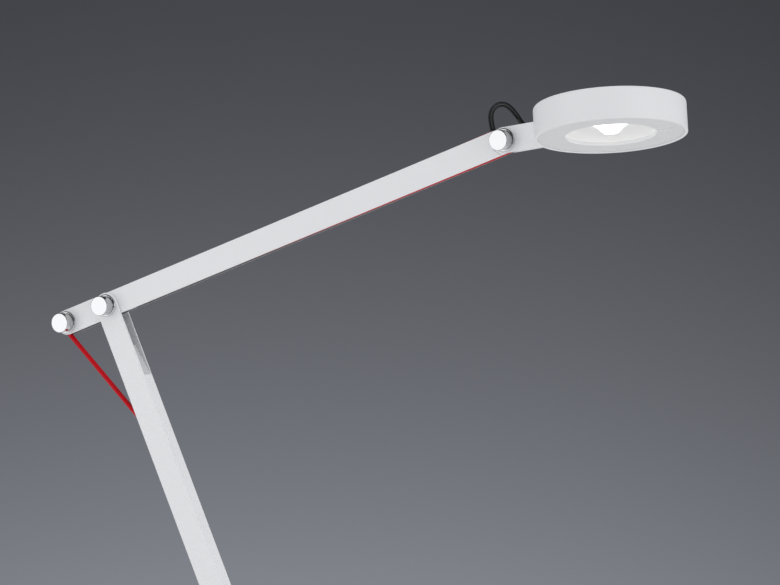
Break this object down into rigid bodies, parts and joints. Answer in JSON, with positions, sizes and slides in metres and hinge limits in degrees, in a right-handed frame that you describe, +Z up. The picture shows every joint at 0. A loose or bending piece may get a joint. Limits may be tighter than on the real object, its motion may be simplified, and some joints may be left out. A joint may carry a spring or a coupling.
{
  "type": "desk lamp",
  "caption": "Table lamp with a disc LED head on two jointed arms, a sprung red balance cord, bright pivot knobs and a round weighted base.",
  "frame": {"origin": "centre of the base's underside, on the table", "axes": "+Z up, +X from the lower arm towards the head, -Y towards the pivot knobs"},
  "size_m": [0.5323, 0.2, 0.6052],
  "materials": {
    "arm_paint": "satin white powder coat",
    "base_paint": "satin white powder coat",
    "iron": "rough",
    "bright_metal": "polished",
    "plain_steel": "plain",
    "sink_metal": "plain",
    "foot_rubber": "matt",
    "cable_rubber": "satin",
    "black_plastic": "matt",
    "red_cord": "woven",
    "ring_plastic": "satin",
    "dish_plastic": "satin white",
    "lens_plastic": "frosted",
    "light_chip": "phosphor",
    "board": "solder mask",
    "green_board": "solder mask"
  },
  "bodies": {
    "base": {"base_weight": "iron", "base_cover": "base_paint", "base_pad": "foot_rubber", "base_screws": "plain_steel", "power_inlet": "black_plastic", "inlet_nut": "plain_steel", "swivel_bush": "black_plastic"},
    "swivel": {"swivel_post": "base_paint", "swivel_nut": "plain_steel", "foot_bolt": "plain_steel", "foot_knob": "bright_metal", "foot_ring": "bright_metal", "foot_cap_nut": "bright_metal", "foot_shims": "black_plastic"},
    "lower": {"lower_arm": "arm_paint", "foot_plug": "black_plastic", "slot_ramp": "arm_paint", "elbow_bolt": "plain_steel", "elbow_knob": "bright_metal", "elbow_ring": "bright_metal", "elbow_cap_nut": "bright_metal", "elbow_shims": "black_plastic", "balance_spring": "plain_steel", "spring_pin": "plain_steel", "lower_wire": "cable_rubber", "wire_joint": "ring_plastic"},
    "upper": {"upper_arm": "arm_paint", "elbow_bush": "black_plastic", "rear_bolt": "plain_steel", "rear_knob": "bright_metal", "rear_ring": "bright_metal", "rear_cap_nut": "bright_metal", "arm_cord": "red_cord", "cord_clamp": "plain_steel", "upper_wire": "cable_rubber", "cable_grommet": "cable_rubber", "cord_wrap": "red_cord", "head_pulley": "black_plastic"},
    "cord": {"balance_cord": "red_cord", "rear_pulley": "black_plastic"},
    "cord_end": {"cord_ferrule": "plain_steel"},
    "neck": {"neck": "arm_paint", "head_bolt": "plain_steel", "head_knob": "bright_metal", "head_ring": "bright_metal", "head_cap_nut": "bright_metal", "neck_spindle": "plain_steel", "cable_sleeve": "cable_rubber", "head_cable": "cable_rubber"},
    "head": {"head_housing": "arm_paint", "spindle_nut": "plain_steel", "heat_sink": "sink_metal", "led_board": "board", "led_emitter": "light_chip", "led_lens": "lens_plastic", "reflector": "dish_plastic", "trim_ring": "ring_plastic", "switch_board": "green_board"},
    "button": {"switch_button": "ring_plastic"}
  },
  "joints": [
    {"name": "base_swivel", "type": "hinge", "parent": "base", "child": "swivel", "pos_m": [0, 0, 0.02], "axis": [0, 0, 1], "range_deg": [-160, 160]},
    {"name": "foot_tilt", "type": "hinge", "parent": "swivel", "child": "lower", "pos_m": [0, 0, 0.04], "axis": [0, 1, 0], "range_deg": [-36, 24]},
    {"name": "elbow", "type": "hinge", "parent": "lower", "child": "upper", "pos_m": [-0.17896, 0, 0.44196], "axis": [0, -1, 0], "range_deg": [-60, 45]},
    {"name": "cord_swing", "type": "hinge", "parent": "upper", "child": "cord", "pos_m": [-0.21702, 0, 0.42811], "axis": [0, -1, 0], "range_deg": [-37.8, 50.4], "deforming": ["cord_wrap"]},
    {"name": "cord_feed", "type": "slide", "parent": "cord", "child": "cord_end", "axis": [0.7135, 0, -0.7007], "range_m": [-0.0278, 0.037], "deforming": ["balance_cord", "balance_spring"]},
    {"name": "head_tilt", "type": "hinge", "parent": "upper", "child": "neck", "pos_m": [0.16684, 0, 0.56782], "axis": [0, -1, 0], "range_deg": [-45, 50], "deforming": ["head_cable"]},
    {"name": "head_roll", "type": "hinge", "parent": "neck", "child": "head", "pos_m": [0.19552, 0, 0.57211], "axis": [0.989, 0, 0.1478], "range_deg": [-60, 80]},
    {"name": "button_press", "type": "slide", "parent": "head", "child": "button", "axis": [-0.1456, 0.1736, 0.974], "range_m": [0, 0.0006], "stiffness_N_per_m": 300, "springref_m": -0.0005}
  ],
  "couplings": [
    {"joint": "cord_swing", "follows": "elbow", "ratio": -0.83},
    {"joint": "cord_feed", "follows": "elbow", "m_per_rad": -0.035}
  ]
}
